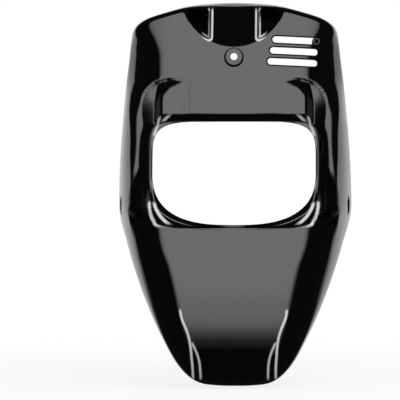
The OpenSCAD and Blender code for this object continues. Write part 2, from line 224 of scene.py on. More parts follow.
def scoop(x, z):
    # the round bite in the top edge leans back from its lower rim
    e = cover["scoopRadius"] - np.hypot(x, z - cover["scoopOver"] - cover["scoopRadius"])
    return np.where(e > 0, cover["scoopLean"] * e * ease(*cover["scoopRim"], e), 0)

def ledge(x, z):
    low = float(through(cover["middle"], np.array(float(opening["ledgeAt"])))) - cover["lampStep"]
    return low - opening["ledgeSlope"] * (z - opening["ledgeAt"]) - opening["ledgeBend"] * x * x

def flank(z):
    return opening["flank"] + opening["lowFlank"] * ease(*opening["lowFlankAt"], z)

def step(z):
    return (opening["step"] + opening["upperStep"] * ease(*opening["upperStepAt"], z)
            + opening["lowerStep"] * ease(*opening["lowerStepAt"], z))

def wallCorner(z):
    # radius of the corner into the wall, and the sine of the angle that it turns through
    r = cover["ridge"] + (cover["shoulder"] - cover["ridge"]) * through(cover["turn"], z)
    k = cover["wallEven"] * cover["wallRake"]
    return r, k / math.sqrt(1 + k * k)

def front(x, z, d, out, w, wide=0.0):
    # d is the distance in from the outline, out the distance from the ledge's outer edge,
    # w the wall's width and wide the ledge's
    r, s = wallCorner(z)
    q = clip((w + r * s - d) / r, 0, s)
    v = clip((w - d) / w, 0, 1)
    turned = body(x, z) - scoop(x, z) - r * (1 - np.sqrt(1 - q * q))
    g = cover["wallEven"] * v + (1 - cover["wallEven"]) * v**3
    slant = opening["slant"] * np.maximum(wide - opening["slantFrom"], 0)
    low = ledge(x, z) + slant * clip(1 + out / np.maximum(wide, 0.1), 0, 1)
    rim = low + step(z) * ease(0, opening["stepWidth"], out)
    rim = rim + flank(z) * np.maximum(out - opening["stepWidth"], 0)
    face = softMin((1 - g) * turned + g * through(cover["back"], z), rim, opening["stepRound"])
    return np.where(out < 0, low, face)

def rayFrame(u):
    # rays from the middle of the opening to the outline
    o = edgeAt(u)
    t = edgeAt(np.minimum(u + 0.01, lastEdge)) - edgeAt(np.maximum(u - 0.01, 0))
    g = o + np.array([0, cover["lampDrop"]])
    l = np.hypot(g[..., 0], g[..., 1])
    e = g / l[..., None]
    square = np.abs(e[..., 0] * t[..., 1] - e[..., 1] * t[..., 0]) / np.hypot(t[..., 0], t[..., 1])
    return o, l, e, square

def heightAt(x, z):
    # height of the outer face over places of the front view
    x, z = np.asarray(x, float), np.asarray(z, float)
    lo, hi = np.zeros(x.shape), np.full(x.shape, float(lastEdge))
    aim = np.arctan2(np.abs(x), z + cover["lampDrop"])
    for i in range(26):
        mid = (lo + hi) / 2
        g = edgeAt(mid) + np.array([0, cover["lampDrop"]])
        less = np.arctan2(g[..., 0], g[..., 1]) < aim
        lo, hi = np.where(less, mid, lo), np.where(less, hi, mid)
    o, l, e, square = rayFrame((lo + hi) / 2)
    far = np.hypot(x, z + cover["lampDrop"])
    away = np.full(x.shape, 50.0)      # far from the ledge
    return front(np.abs(x), z, (l - far) * square, away, through(cover["strip"], o[..., 1]))

# how finely the sheet is divided: along the outline (from, to, steps), and across it
sheet = {
    "spans": [(0, 2.5, 32), (2.5, 7, 50), (7, 10, 64), (10, 13, 26), (13, 17, 44), (17, 25, 44)],
    "rings": (6, 8, 38, 20, 24, 16, 12),
    "innerRings": 26, "offLedge": 3, "creaseBand": (0.3, 0.55), "arcBand": (0.3, 0.8), "normalReach": 3,
    "sharpFrom": 38,
}

def coverGrid():
    parts = [np.linspace(a, b, n, endpoint=False) for a, b, n in sheet["spans"]]
    u = np.concatenate(parts + [[lastEdge]])
    o, l, e, square = rayFrame(u)
    half = cover["lampWidth"] / 2
    up = cover["lampHeight"] * opening["upShare"]
    down = cover["lampHeight"] - up
    hole = reach(e[:, 0], e[:, 1], half, up + opening["holeUp"], down - opening["holeUp"],
                 opening["holeCorners"])
    foot = reach(e[:, 0], e[:, 1], half + cover["lampLedge"], up + opening["ledgeUp"],
                 down + opening["ledgeDown"], opening["ledgeCorners"])
    w = through(cover["strip"], o[:, 1])
    r, s = wallCorner(o[:, 1])
    bend = l - (w + r * s) / square
    edgeIn = l - w / square
    start = foot + sheet["offLedge"]
    beyond = 1000      # for rays that don't meet the crease or the scoop
    rise = np.maximum(e[:, 1], 0.05)
    crease = np.where(e[:, 1] > 0.05, (cover["lampDrop"] - cover["creaseDrop"]) / rise, beyond)
    mid = clip(crease, *(start + k * (bend - start) for k in sheet["creaseBand"]))
    drop = cover["scoopOver"] + cover["scoopRadius"] + cover["lampDrop"]
    under = cover["scoopRadius"] ** 2 - (drop * e[:, 0]) ** 2
    arc = np.where(e[:, 1] > 0, drop * e[:, 1] - np.sqrt(np.maximum(under, 0)), beyond)
    arc = clip(arc, *(mid + k * (bend - mid) for k in sheet["arcBand"]))
    knots = [hole, foot, start, mid, arc, bend, edgeIn, l]
    rings = []
    for a, b, n in zip(knots[:-1], knots[1:], sheet["rings"]):
        for i in range(n):
            rings.append(a + (b - a) * i / n)
    rings.append(l)
    far = np.stack(rings, 1)
    x = far * e[:, :1]
    z = far * e[:, 1:] - cover["lampDrop"]
    h = front(x, z, (l[:, None] - far) * square[:, None], far - foot[:, None],
              w[:, None] + 0 * far, (foot - hole)[:, None])
    right = np.stack([x, -h, z], -1)
    left = right[-2:0:-1] * np.array([-1, 1, 1])
    return np.concatenate([right, left])

outer = coverGrid()
ringCount = outer.shape[1]

def smoothNormals(grid, far):
    a = np.roll(grid, -far, 0) - np.roll(grid, far, 0)
    j = np.arange(grid.shape[1])
    b = grid[:, np.minimum(j + far, j[-1])] - grid[:, np.maximum(j - far, 0)]
    n = np.cross(b, a)
    return n / np.linalg.norm(n, axis=-1, keepdims=True)

normals = smoothNormals(outer, sheet["normalReach"])
if np.median(normals[..., 1]) > 0:      # make them point forward, to -Y
    normals = -normals

# the back of the wall has fewer rings than the front
pick = np.concatenate([[0, 6], np.linspace(10, ringCount - 1, sheet["innerRings"])])
pick = np.unique(np.round(pick).astype(int))
inner = outer[:, pick] - cover["wall"] * normals[:, pick]
inner[:, 0] = outer[:, 0] + np.array([0, cover["wall"], 0])
rim = normals[:, -1] * np.array([1, 0, 1])
rim /= np.linalg.norm(rim, axis=-1, keepdims=True)
inner[:, -1] = outer[:, -1] - cover["wall"] * rim

section = np.concatenate([outer, inner[:, ::-1], outer[:, :1]], 1)      # once round the wall
section = np.concatenate([section, section[:1]])
print("stage 2: cover section", section.shape)

pickNone()
bpy.ops.mesh.primitive_grid_add(x_subdivisions=section.shape[1] - 1,
                                y_subdivisions=section.shape[0] - 1, size=0.3, location=(0, 0, 0))
panelPiece = bpy.context.object
panelPiece.name = "fairingPanel"
panelPiece.data.vertices.foreach_set("co", (section.reshape(-1, 3) / 1000).ravel())
panelPiece.data.update()
makeActive(panelPiece)
bpy.ops.object.mode_set(mode="EDIT")
bpy.ops.mesh.select_all(action="SELECT")
bpy.ops.mesh.remove_doubles(threshold=0.000002)
bpy.ops.mesh.normals_make_consistent(inside=False)
bpy.ops.object.mode_set(mode="OBJECT")
print("stage 3: cover sheet", len(panelPiece.data.polygons), "faces")

# screw seats, wells and posts, in mm
fixings = {
    "screwBore": 8.8, "seatWidth": 24, "seatFloor": 3.5, "seatWall": 2.8,
    "coneWide": 28.8, "coneNarrow": 20.8, "coneDeep": 8,
    "sideBore": 6.6, "sideWell": 19, "sideDrop": 188, "sideBack": 38, "sideSeat": 130,
    "sideFloor": 3, "sideWall": 2.6, "sideOuter": 170, "wallBetween": (110.0, 147.0), "beyondWall": 140,
    "postWidth": 11, "postBore": 4.2, "postDepth": 18, "postBack": 42, "postSide": 104, "postUp": 19,
    "barFront": -30, "segments": 64, "fewSegments": 24,
}
slots = {
    "height": 8.3, "length": 60, "growth": 2.5, "pitch": 14, "shift": 1.9,
    "side": 75.5, "up": 6.5, "fall": 2.5, "cutterDeep": 120, "points": 48,
}
# the two hollows beside the scoop's tongue
pocket = {
    "tongue": 28, "end": 59, "top": 63, "middle": (43, 42), "corner": 5.5, "depth": 18, "front": -25,
    "draft": 0.93, "tongueDraft": 0.7, "points": 48,
}

def bar(x, z, width, a, b, segments=48):
    # round bar along Y
    pickNone()
    bpy.ops.mesh.primitive_cylinder_add(vertices=segments, radius=width / 2000, depth=(b - a) / 1000,
                                        location=(x / 1000, (a + b) / 2000, z / 1000),
                                        rotation=(math.pi / 2, 0, 0))
    obj = bpy.context.object
    applyPlace(obj)
    return obj

def sideBar(side, width, a, b, segments=48):
    # round bar along X, from |x| = a to |x| = b
    pickNone()
    bpy.ops.mesh.primitive_cylinder_add(vertices=segments, radius=width / 2000, depth=(b - a) / 1000,
                                        location=(side * (a + b) / 2000, fixings["sideBack"] / 1000,
                                                  -fixings["sideDrop"] / 1000),
                                        rotation=(0, math.pi / 2, 0))
    obj = bpy.context.object
    applyPlace(obj)
    return obj

def seatUnder(obj, depth):
    # bring the front end of a bar to this depth under the face
    co = np.array([v.co[:] for v in obj.data.vertices]) * 1000
    near = co[:, 1] < 0
    co[near, 1] = depth - heightAt(co[near, 0], co[near, 2])
    obj.data.vertices.foreach_set("co", (co / 1000).ravel())
    obj.data.update()

def sideUnder(obj, side):
    # bring the outer end of a bar under the side wall
    co = np.array([v.co[:] for v in obj.data.vertices]) * 1000
    near = np.abs(co[:, 0]) > fixings["beyondWall"]
    for i in np.where(near)[0]:
        y, z = co[i, 1], co[i, 2]
        lo, hi = fixings["wallBetween"]
        for k in range(24):
            m = (lo + hi) / 2
            if heightAt(np.array([m]), np.array([z]))[0] > -y:
                lo = m
            else:
                hi = m
        co[i, 0] = side * (lo - cover["wall"] * 0.4)
    obj.data.vertices.foreach_set("co", (co / 1000).ravel())
    obj.data.update()

def joined(objs, name):
    pickNone()
    for o in objs:
        o.select_set(True)
    bpy.context.view_layer.objects.active = objs[0]
    bpy.ops.object.join()
    objs[0].name = name
    return objs[0]

def cutWith(obj, other, operation):
    m = obj.modifiers.new("cut", "BOOLEAN")
    m.operation = operation
    m.solver = "EXACT"
    m.object = other
    applyModifier(obj, "cut")
    bpy.data.objects.remove(other, do_unlink=True)

middleOfWall = cover["wall"] * 0.5
seatBar = bar(0, 0, fixings["seatWidth"] + 2 * fixings["seatWall"], fixings["barFront"],
              fixings["seatFloor"], fixings["segments"])
seatUnder(seatBar, middleOfWall)
postBars = [bar(s * fixings["postSide"], fixings["postUp"], fixings["postWidth"], fixings["barFront"],
                fixings["postBack"]) for s in (-1, 1)]
for p in postBars:
    seatUnder(p, middleOfWall)
wellBars = []
for s in (-1, 1):
    wellBars.append(sideBar(s, fixings["sideWell"] + 2 * fixings["sideWall"],
                            fixings["sideSeat"] - fixings["sideFloor"], fixings["sideOuter"],
                            fixings["segments"]))
    sideUnder(wellBars[-1], s)

def slotCutter(i):
    # a square bar with round ends, through the sheet
    long = slots["length"] + i * slots["growth"] - slots["height"]
    pickNone()
    bpy.ops.mesh.primitive_cylinder_add(vertices=slots["points"], radius=slots["height"] / 2000,
                                        depth=slots["cutterDeep"] / 1000, location=(0, 0, 0),
                                        rotation=(math.pi / 2, 0, 0))
    obj = bpy.context.object
    applyPlace(obj)
    for v in obj.data.vertices:
        v.co.x += (long / 2000) * (1 if v.co.x > 1e-6 else -1 if v.co.x < -1e-6 else 0)
    a = math.radians(slots["fall"])
    for v in obj.data.vertices:
        x, z = v.co.x, v.co.z
        v.co.x = x * math.cos(a) + z * math.sin(a) + (slots["side"] - i * slots["shift"]) / 1000
        v.co.z = -x * math.sin(a) + z * math.cos(a) + (slots["up"] - i * slots["pitch"]) / 1000
    return obj

def lobe(side, grow, top, floorAt):
    # pocket outline: tongue wall, arc, outer end, with round corners; then its slanting floor
    a, b, r = pocket["tongue"] - grow, pocket["end"] + grow, cover["scoopRadius"] + grow
    cz, zTop = cover["scoopOver"] + cover["scoopRadius"], pocket["top"] + grow
    corner = pocket["corner"] + grow
    midX, midZ = pocket["middle"]
    points = []
    for i in range(pocket["points"]):
        t = 2 * math.pi * i / pocket["points"]
        dx, dz = math.cos(t), math.sin(t)
        lo, hi = 0.0, 80.0
        for k in range(30):
            m = (lo + hi) / 2
            x, z = midX + dx * m, midZ + dz * m
            walls = np.array([a - x, x - b, z - zTop, math.hypot(x, z - cz) - r]) + corner
            inside = math.sqrt(float((np.maximum(walls, 0) ** 2).sum())) < corner
            lo, hi = (m, hi) if inside else (lo, m)
        points.append((side * (midX + dx * lo), midZ + dz * lo))
    pickNone()
    bpy.ops.mesh.primitive_cylinder_add(vertices=pocket["points"], radius=0.02, depth=0.02,
                                        location=(0, 0, 0))
    obj = bpy.context.object
    low = [v for v in obj.data.vertices if v.co.z < 0]
    high = [v for v in obj.data.vertices if v.co.z > 0]
    for ring, isFloor in ((low, False), (high, True)):
        ring.sort(key=lambda v: math.atan2(v.co.y, v.co.x) % (2 * math.pi))
        for v, (x, z) in zip(ring, points):
            k = pocket["draft"] if isFloor else 1.0
            kx = pocket["tongueDraft"] if isFloor and abs(x) < midX else k
            px, pz = side * midX + (x - side * midX) * kx, midZ + (z - midZ) * k
            y = floorAt + cover["scoopLean"] * (pz - cover["scoopOver"]) if isFloor else top(px, pz)
            v.co = (px / 1000, y / 1000, pz / 1000)
    makeActive(obj)
    bpy.ops.object.mode_set(mode="EDIT")
    bpy.ops.mesh.select_all(action="SELECT")
    bpy.ops.mesh.normals_make_consistent(inside=False)
    bpy.ops.object.mode_set(mode="OBJECT")
    return obj

def underFace(x, z):
    return middleOfWall - float(heightAt(np.array([x]), np.array([z]))[0])

cutWith(panelPiece, joined([slotCutter(i) for i in (-1, 0, 1)], "slotCutters"), "DIFFERENCE")
print("stage 4: vent slots cut")
backs = [lobe(s, cover["wall"], underFace, pocket["depth"] + cover["wall"]) for s in (-1, 1)]
cutWith(panelPiece, joined([seatBar] + postBars + wellBars + backs, "bars"), "UNION")
pickNone()
bpy.ops.mesh.primitive_cone_add(vertices=fixings["segments"], radius1=fixings["coneWide"] / 2000,
                                radius2=fixings["coneNarrow"] / 2000, depth=fixings["coneDeep"] / 1000,
                                location=(0, -fixings["coneDeep"] / 2000, 0),
                                rotation=(-math.pi / 2, 0, 0))
seatCone = bpy.context.object
applyPlace(seatCone)
holes = [seatCone] + [lobe(s, 0, lambda x, z: pocket["front"], pocket["depth"]) for s in (-1, 1)]
holes += [sideBar(s, fixings["sideWell"], fixings["sideSeat"], fixings["sideOuter"],
                  fixings["segments"]) for s in (-1, 1)]
cutWith(panelPiece, joined(holes, "holes"), "DIFFERENCE")
bores = [bar(0, 0, fixings["screwBore"], -2, fixings["seatFloor"] + 1)]
for s in (-1, 1):
    bores.append(bar(s * fixings["postSide"], fixings["postUp"], fixings["postBore"],
                     fixings["postBack"] - fixings["postDepth"], fixings["postBack"] + 1,
                     fixings["fewSegments"]))
for s in (-1, 1):
    bores.append(sideBar(s, fixings["sideBore"], fixings["sideSeat"] - fixings["sideFloor"] - 1,
                         fixings["sideSeat"] + 2))
cutWith(panelPiece, joined(bores, "bores"), "DIFFERENCE")
print("stage 5: seats, wells and posts", len(panelPiece.data.polygons), "faces")

makeActive(panelPiece)
bpy.ops.object.shade_smooth_by_angle(angle=math.radians(sheet["sharpFrom"]))

def nodeMath(nt, op, *values, clampIt=False):
    n = nt.nodes.new("ShaderNodeMath")
    n.operation = op
    n.use_clamp = clampIt
    for i, v in enumerate(values):
        if isinstance(v, (int, float)):
            n.inputs[i].default_value = v
        else:
            nt.links.new(v, n.inputs[i])
    return n.outputs[0]

def nodeRange(nt, v, a, b, lo, hi, kind="SMOOTHSTEP"):
    n = nt.nodes.new("ShaderNodeMapRange")
    n.interpolation_type = kind
    for label, value in (("From Min", a), ("From Max", b), ("To Min", lo), ("To Max", hi)):
        n.inputs[label].default_value = value
    nt.links.new(v, n.inputs["Value"])
    return n.outputs[0]

def nodeNoise(nt, place, scale, detail):
    n = nt.nodes.new("ShaderNodeTexNoise")
    n.inputs["Scale"].default_value = scale
    n.inputs["Detail"].default_value = detail
    nt.links.new(place, n.inputs["Vector"])
    return n.outputs["Fac"]

def nodeLength(nt, a, b):
    return nodeMath(nt, "SQRT", nodeMath(nt, "MULTIPLY_ADD", a, a, nodeMath(nt, "MULTIPLY", b, b)))

def nodeMost(nt, masks):
    most = masks[0]
    for mask in masks[1:]:
        most = nodeMath(nt, "MAXIMUM", most, mask)
    return most

def newGroup(name, inputs, outputs):
    g = bpy.data.node_groups.new(name, "ShaderNodeTree")
    for label, kind in inputs:
        g.interface.new_socket(name=label, in_out="INPUT", socket_type=kind)
    for label in outputs:
        g.interface.new_socket(name=label, in_out="OUTPUT", socket_type="NodeSocketFloat")
    return g, g.nodes.new("NodeGroupInput"), g.nodes.new("NodeGroupOutput")

handling = {
    "smearScale": 9, "smearDetail": 4, "smearFrom": (0.5, 0.75),
    "hairScale": 70, "hairDetail": 2, "hairFrom": (0.7, 0.78),
    "hairStretch": (6, 6, 0.35), "hairTurn": (0, 0.5, 0),
}

def handlingGroup():
    # fine hairlines and soft smears that change the gloss
    g, gin, gout = newGroup("handlingMarks", [("Vector", "NodeSocketVector"), ("Smears", "NodeSocketFloat"),
                                              ("Hairlines", "NodeSocketFloat")], ["Gloss"])
    stretch = g.nodes.new("ShaderNodeMapping")
    stretch.inputs["Scale"].default_value = handling["hairStretch"]
    stretch.inputs["Rotation"].default_value = handling["hairTurn"]
    g.links.new(gin.outputs["Vector"], stretch.inputs["Vector"])
    smear = nodeNoise(g, gin.outputs["Vector"], handling["smearScale"], handling["smearDetail"])
    hair = nodeNoise(g, stretch.outputs[0], handling["hairScale"], handling["hairDetail"])
    smears = nodeMath(g, "MULTIPLY", nodeRange(g, smear, *handling["smearFrom"], 0, 1, "LINEAR"),
                      gin.outputs["Smears"])
    hairs = nodeMath(g, "MULTIPLY", nodeRange(g, hair, *handling["hairFrom"], 0, 1, "LINEAR"),
                     gin.outputs["Hairlines"])
    g.links.new(nodeMath(g, "ADD", smears, hairs, clampIt=True), gout.inputs["Gloss"])
    return g

# painted highlights along the folds: places along each (height, distance from the middle), half width, in
# mm, and strength
foldHighlights = {
    "lampSide": ([(-174, 104), (-156, 105.1), (-137, 105.3), (-118, 104.8), (-106, 103.2),
                  (-98, 101)], 1.0, 0.16),
    "lampUpper": ([(-102, 101.8), (-98.4, 101), (-91, 98.5), (-86, 96.3), (-80, 94.5),
                   (-74, 92)], 2.3, 0.85),
    "lampTop": ([(-84, 92), (-78.5, 85.8), (-72, 78.5)], 2.6, 0.9),
    "cornerInner": ([(-213, 78), (-206.6, 86.6), (-195.4, 95.7), (-182, 100.6)], 2.9, 0.95),
    "cornerOuter": ([(-216.5, 85), (-213, 95), (-206.6, 100.2), (-195.4, 104.8),
                     (-181, 106)], 2.9, 0.95),
    "cornerRim": ([(-214.5, 45), (-209.4, 67.3), (-202.1, 83.2), (-193, 94.6), (-176, 101.3),
                   (-159, 102.6)], 0.9, 0.25),
    "beakOuter": ([(-412, 53), (-400, 52.7), (-383, 53.4), (-356, 56), (-345, 59), (-329, 65),
                   (-316, 67)], 2.3, 0.95),
    "beakInner": ([(-412, 43), (-400, 43), (-383, 44.5), (-370, 48.5), (-358, 54)], 2.2, 0.8),
}
# painted highlight lines along the folds round the tongue: how far inside the pocket's wall, half width,
# strength
tongueHighlightFolds = ((0.2, 1.7, 0.85), (-4.3, 1.7, 0.95))
foldReach = {
    "farthest": 120.0, "fadeEnds": 5, "tongueEnd": (35, 43), "tongueTop": (58, 65), "back": (0.2, 0.35),
}
# painted shade and highlight places, in mm: painted shade at the slot rims, the ridge's tail and the rings
# round the side wells, and a painted highlight ring round the post
soft = {
    "slotRimShade": (1.3, 2.1), "tailTop": (-156, -140), "tailFoot": (-209, -205),
    "tailInner": (112, 116), "tailOuter": (128.5, 131),
    "wellRingShade": 1.2, "wellRingWide": (1.6, 2.6), "wellRingShare": 0.9,
    "postRimHighlight": 3.4, "postRingWide": (0.3, 0.9), "postRingShare": 0.25, "postRingShift": (0.3, 0.5),
}

def foldHighlightLine(g, across, height, points, wide, strength):
    # painted highlight, a pale line where a fold runs: a curve gives its distance from the middle by height
    low, high = points[0][0], points[-1][0]
    far = foldReach["farthest"]
    at = []
    for shift in (0.0, 1.0):
        up = nodeMath(g, "SUBTRACT", height, low - shift)
        share = nodeMath(g, "DIVIDE", up, high - low, clampIt=True)
        curve = g.nodes.new("ShaderNodeFloatCurve")
        line = curve.mapping.curves[0]
        line.points[0].location = (0, points[0][1] / far)
        line.points[1].location = (1, points[-1][1] / far)
        for z, x in points[1:-1]:
            line.points.new((z - low) / (high - low), x / far)
        curve.mapping.update()
        g.links.new(share, curve.inputs["Value"])
        at.append(nodeMath(g, "MULTIPLY", curve.outputs[0], far))
    lean = nodeMath(g, "SUBTRACT", at[1], at[0])      # sideways run over 1 mm of height
    square = nodeMath(g, "INVERSE_SQRT", nodeMath(g, "MULTIPLY_ADD", lean, lean, 1.0))
    off = nodeMath(g, "ABSOLUTE", nodeMath(g, "SUBTRACT", across, at[0]))
    line = nodeRange(g, nodeMath(g, "MULTIPLY", off, square), wide * 0.25, wide, strength, 0)
    fade = foldReach["fadeEnds"]
    ends = nodeMath(g, "MULTIPLY", nodeRange(g, height, low, low + fade, 0, 1),
                    nodeRange(g, height, high - fade, high, 1, 0))
    return nodeMath(g, "MULTIPLY", line, ends)

def tongueHighlightLines(g, across, height):
    # painted highlight lines along the tongue's folds, set by the distance to the rounded corner between
    # the tongue's wall and the scoop's arc
    corner = pocket["corner"]
    lift = nodeMath(g, "SUBTRACT", height, cover["scoopOver"] + cover["scoopRadius"])
    beside = nodeMath(g, "SUBTRACT", pocket["tongue"] + corner, across)
    below = nodeMath(g, "SUBTRACT", nodeLength(g, lift, across), cover["scoopRadius"] - corner)
    nearest = nodeMath(g, "MINIMUM", nodeMath(g, "MAXIMUM", beside, below), 0)
    outside = nodeLength(g, nodeMath(g, "MAXIMUM", beside, 0), nodeMath(g, "MAXIMUM", below, 0))
    inside = nodeMath(g, "ADD", outside, nodeMath(g, "SUBTRACT", nearest, corner))
    gate = nodeMath(g, "MULTIPLY", nodeRange(g, across, *foldReach["tongueEnd"], 1, 0),
                    nodeRange(g, height, *foldReach["tongueTop"], 1, 0))
    lines = []
    for at, wide, strength in tongueHighlightFolds:
        off = nodeMath(g, "ABSOLUTE", nodeMath(g, "SUBTRACT", inside, at))
        lines.append(nodeMath(g, "MULTIPLY", nodeRange(g, off, wide * 0.3, wide, strength, 0), gate))
    return lines

def postRimHighlight(g, x, across, height):
    # painted highlight on the rim of the post that shows at the end of the top slot, on that side only
    shiftX, shiftZ = soft["postRingShift"]
    aside = nodeMath(g, "SUBTRACT", across, fixings["postSide"] + shiftX)
    up = nodeMath(g, "SUBTRACT", height, fixings["postUp"] + shiftZ)
    off = nodeMath(g, "ABSOLUTE", nodeMath(g, "SUBTRACT", nodeLength(g, aside, up), soft["postRimHighlight"]))
    ring = nodeRange(g, off, *soft["postRingWide"], soft["postRingShare"], 0)
    return nodeMath(g, "MULTIPLY", ring, nodeRange(g, x, 0, 10, 0, 1))

# painted shade: a dark band round each slot's rim
def slotRimShade(g, x, height, i):
    fall = math.tan(math.radians(slots["fall"]))
    dx = nodeMath(g, "SUBTRACT", x, slots["side"] - i * slots["shift"])
    up = nodeMath(g, "SUBTRACT", height, slots["up"] - i * slots["pitch"])
    dz = nodeMath(g, "MULTIPLY_ADD", dx, fall, up)
    half = (slots["length"] + i * slots["growth"] - slots["height"]) / 2
    past = nodeMath(g, "MAXIMUM", nodeMath(g, "SUBTRACT", nodeMath(g, "ABSOLUTE", dx), half), 0)
    near, far = (slots["height"] / 2 + w for w in soft["slotRimShade"])
    return nodeRange(g, nodeLength(g, past, dz), near, far, 1, 0)

def ridgeTailShade(g, across, height):
    # painted shade: the ridge's tail beside the headlight's lower corners is painted dark so it shows no
    # reflection
    tail = nodeMath(g, "MULTIPLY", nodeRange(g, height, *soft["tailTop"], 1, 0),
                    nodeRange(g, height, *soft["tailFoot"], 0, 1))
    band = nodeMath(g, "MULTIPLY", nodeRange(g, across, *soft["tailInner"], 0, 1),
                    nodeRange(g, across, *soft["tailOuter"], 1, 0))
    return nodeMath(g, "MULTIPLY", tail, band)

# painted shade: a dark ring round each side well
def wellRingShade(g, depth, height):
    back = nodeMath(g, "SUBTRACT", depth, fixings["sideBack"])
    up = nodeMath(g, "ADD", height, fixings["sideDrop"])
    off = nodeMath(g, "SUBTRACT", nodeLength(g, back, up), fixings["sideWell"] / 2 + soft["wellRingShade"])
    return nodeRange(g, nodeMath(g, "ABSOLUTE", off), *soft["wellRingWide"], soft["wellRingShare"], 0)

# painted light: Fold gives the painted highlight lines, Rim the painted shade
def paintedLightGroup():
    g, gin, gout = newGroup("paintedHighlightsAndShade", [("Vector", "NodeSocketVector"),
                                              ("Normal", "NodeSocketVector")], ["Fold", "Rim"])
    sep = g.nodes.new("ShaderNodeSeparateXYZ")
    g.links.new(gin.outputs["Vector"], sep.inputs[0])
    x, depth, height = (nodeMath(g, "MULTIPLY", sep.outputs[i], 1000) for i in range(3))
    across = nodeMath(g, "ABSOLUTE", x)
    lines = [foldHighlightLine(g, across, height, *fold) for fold in foldHighlights.values()]
    lines += tongueHighlightLines(g, across, height)
    lines.append(postRimHighlight(g, x, across, height))
    turned = g.nodes.new("ShaderNodeSeparateXYZ")
    g.links.new(gin.outputs["Normal"], turned.inputs[0])
    isFront = nodeRange(g, turned.outputs[1], *foldReach["back"], 1, 0)
    g.links.new(nodeMath(g, "MULTIPLY", nodeMost(g, lines), isFront), gout.inputs["Fold"])
    rims = [slotRimShade(g, x, height, i) for i in (-1, 0, 1)]
    rims += [ridgeTailShade(g, across, height), wellRingShade(g, depth, height)]
    g.links.new(nodeMost(g, rims), gout.inputs["Rim"])
    return g

# the pale grey is the base colour of the painted highlight lines along the folds
finish = {
    "black": (0.0014, 0.0014, 0.0015, 1), "paintedHighlight": (0.62, 0.62, 0.62, 1), "ior": 1.5,
    "smears": 0.35, "hairlines": 0.25, "roughness": (0.045, 0.14),
    "backFrom": (0.05, 0.2), "backRoughness": 0.38, "rimRoughness": 0.45, "rimDark": 0.92,
    "peelScale": 420, "peelDetail": 1, "grainScale": 1500, "grainDetail": 2, "grainHigh": 3.0,
    "bump": 0.02, "bumpDepth": 0.0004,
}

def lacquer():
    m = bpy.data.materials.new("blackLacquer")
    m.use_nodes = True
    nt = m.node_tree
    bsdf = nt.nodes["Principled BSDF"]
    bsdf.inputs["IOR"].default_value = finish["ior"]
    tc = nt.nodes.new("ShaderNodeTexCoord")
    place, normal = tc.outputs["Object"], tc.outputs["Normal"]
    marks = nt.nodes.new("ShaderNodeGroup")
    marks.node_tree = handlingGroup()
    marks.inputs["Smears"].default_value = finish["smears"]
    marks.inputs["Hairlines"].default_value = finish["hairlines"]
    nt.links.new(place, marks.inputs["Vector"])
    lines = nt.nodes.new("ShaderNodeGroup")
    lines.node_tree = paintedLightGroup()
    nt.links.new(place, lines.inputs["Vector"])
    nt.links.new(normal, lines.inputs["Normal"])
    # painted highlight: the fold lines mix a pale grey into the black base colour
    colour = nt.nodes.new("ShaderNodeMix")
    colour.data_type = "RGBA"
    colour.inputs[6].default_value = finish["black"]
    colour.inputs[7].default_value = finish["paintedHighlight"]
    nt.links.new(lines.outputs["Fold"], colour.inputs[0])
    nt.links.new(colour.outputs[2], bsdf.inputs["Base Color"])
    # the moulded back is matt with a fine grain, the front is lacquered
    turned = nt.nodes.new("ShaderNodeSeparateXYZ")
    nt.links.new(normal, turned.inputs[0])
    back = nodeRange(nt, turned.outputs[1], *finish["backFrom"], 0, 1)
    gloss = nodeRange(nt, marks.outputs["Gloss"], 0, 1, *finish["roughness"], "LINEAR")
    rough = nodeMath(nt, "MULTIPLY_ADD", back, finish["backRoughness"], gloss)
    rough = nodeMath(nt, "MULTIPLY_ADD", lines.outputs["Rim"], finish["rimRoughness"], rough)
    nt.links.new(rough, bsdf.inputs["Roughness"])
    # painted shade: on the rims the metallic share over the black base colour takes the reflection away, so
    # they show dark
    nt.links.new(nodeMath(nt, "MULTIPLY", lines.outputs["Rim"], finish["rimDark"]), bsdf.inputs["Metallic"])
    peel = nodeNoise(nt, place, finish["peelScale"], finish["peelDetail"])
    grain = nodeNoise(nt, place, finish["grainScale"], finish["grainDetail"])
    surface = nt.nodes.new("ShaderNodeMix")
    surface.data_type = "FLOAT"
    nt.links.new(back, surface.inputs[0])
    nt.links.new(peel, surface.inputs[2])
    nt.links.new(nodeMath(nt, "MULTIPLY", grain, finish["grainHigh"]), surface.inputs[3])
    bump = nt.nodes.new("ShaderNodeBump")
    bump.inputs["Strength"].default_value = finish["bump"]
    bump.inputs["Distance"].default_value = finish["bumpDepth"]
    nt.links.new(surface.outputs[0], bump.inputs["Height"])
    nt.links.new(bump.outputs[0], bsdf.inputs["Normal"])
    return m

panelPiece.data.materials.clear()
panelPiece.data.materials.append(lacquer())

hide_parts("fairing_panel")
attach(panelPiece, "root")
print("stage 6: finishes")

# sizes in metres; the ranges are slopes and directions of what the gloss reflects
studio = {
    "floorDrop": -0.4215, "floorSize": 30, "floorColour": (0.85, 0.85, 0.85, 1), "floorRough": 0.9,
    "floorWhite": (0.82, 1.0), "floorWhiteFrom": (0.1, 1.2),
    "softbox": 3.6, "boxSide": (0.25, 0.95), "boxTop": (0.6, 0.85),
    "boxFoot": ((-1.75, -0.35, 0.85), (-3.0, -0.6, 0.15)),
    "behind": 0.78, "behindFrom": (0.58, 0.66), "behindFoot": (-0.35, -0.15),
    "dark": 0.02, "fill": 0.45,
    "lampSize": 1.6, "lampPower": 45, "lampAt": (0.5, -1.6, 1.3), "lampAim": (0, 0, -0.18),
    "cameraTurn": 2.0, "cameraFar": 3.0, "lens": 214.0, "aside": -0.0428, "height": -0.1810,
}

